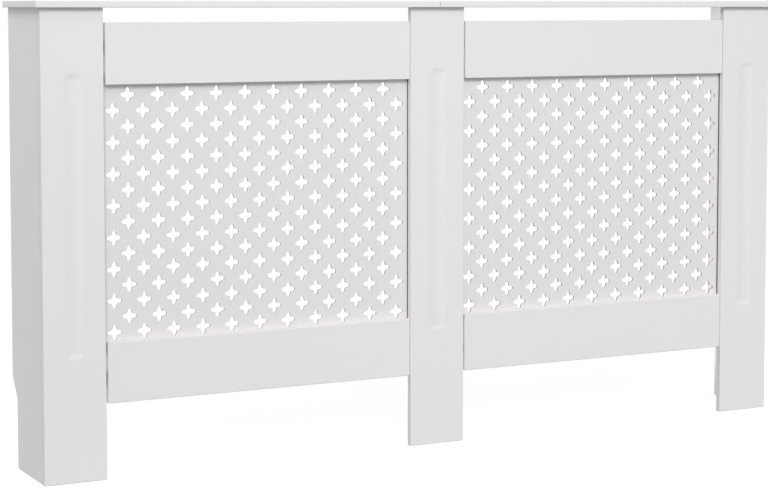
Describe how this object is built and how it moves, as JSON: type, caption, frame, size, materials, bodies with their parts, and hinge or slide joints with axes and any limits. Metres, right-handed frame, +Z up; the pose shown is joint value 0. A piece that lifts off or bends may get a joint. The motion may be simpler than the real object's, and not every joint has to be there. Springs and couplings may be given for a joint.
{
  "type": "radiator cover cabinet",
  "caption": "Wide white radiator cover with two fretted grille bays, three grooved legs, side panels and a slim flat top that stands proud at the front.",
  "frame": {"origin": "on the floor, under the middle of the cabinet's bounding box", "axes": "+X along the width, to the right seen from the front; +Y to the back, towards the wall; +Z up"},
  "size_m": [1.52, 0.19, 0.815],
  "materials": {
    "painted_board": "12 mm medium-density fibreboard, sprayed satin white with a slight cool tint, edges eased",
    "grille_sheet": "3 mm hardboard, cut through with crosses, roller-coated matt white, faintly mottled",
    "bare_wood": "planed softwood battens and turned dowels, unpainted",
    "zinc_plated_steel": "zinc-plated steel, dull"
  },
  "bodies": {
    "root": {"corner_batten_left": "bare_wood", "corner_batten_right": "bare_wood", "dowel_front": "bare_wood", "dowel_middle": "bare_wood", "dowel_rear": "bare_wood", "grille_left": "grille_sheet", "grille_left_screw_bottom_left": "zinc_plated_steel", "grille_left_screw_bottom_right": "zinc_plated_steel", "grille_left_screw_top_left": "zinc_plated_steel", "grille_left_screw_top_right": "zinc_plated_steel", "grille_right": "grille_sheet", "grille_right_screw_bottom_left": "zinc_plated_steel", "grille_right_screw_bottom_right": "zinc_plated_steel", "grille_right_screw_top_left": "zinc_plated_steel", "grille_right_screw_top_right": "zinc_plated_steel", "left_side_angle_front": "zinc_plated_steel", "left_side_angle_front_panel_screw": "zinc_plated_steel", "left_side_angle_front_top_screw": "zinc_plated_steel", "left_side_angle_rear": "zinc_plated_steel", "left_side_angle_rear_panel_screw": "zinc_plated_steel", "left_side_angle_rear_top_screw": "zinc_plated_steel", "leg_board_left": "painted_board", "leg_board_middle": "painted_board", "leg_board_right": "painted_board", "middle_leg_angle_left": "zinc_plated_steel", "middle_leg_angle_left_leg_screw": "zinc_plated_steel", "middle_leg_angle_left_top_screw": "zinc_plated_steel", "middle_leg_angle_right": "zinc_plated_steel", "middle_leg_angle_right_leg_screw": "zinc_plated_steel", "middle_leg_angle_right_top_screw": "zinc_plated_steel", "rail_lower_left": "painted_board", "rail_lower_right": "painted_board", "rail_plate_lower_left": "zinc_plated_steel", "rail_plate_lower_middle": "zinc_plated_steel", "rail_plate_lower_right": "zinc_plated_steel", "rail_plate_upper_left": "zinc_plated_steel", "rail_plate_upper_middle": "zinc_plated_steel", "rail_plate_upper_right": "zinc_plated_steel", "rail_upper_left": "painted_board", "rail_upper_right": "painted_board", "right_side_angle_front": "zinc_plated_steel", "right_side_angle_front_panel_screw": "zinc_plated_steel", "right_side_angle_front_top_screw": "zinc_plated_steel", "right_side_angle_rear": "zinc_plated_steel", "right_side_angle_rear_panel_screw": "zinc_plated_steel", "right_side_angle_rear_top_screw": "zinc_plated_steel", "side_panel_left": "painted_board", "side_panel_right": "painted_board", "top_board_left": "painted_board", "top_board_right": "painted_board", "wall_angle_left": "zinc_plated_steel", "wall_angle_left_panel_screw": "zinc_plated_steel", "wall_angle_right": "zinc_plated_steel", "wall_angle_right_panel_screw": "zinc_plated_steel"}
  },
  "joints": []
}
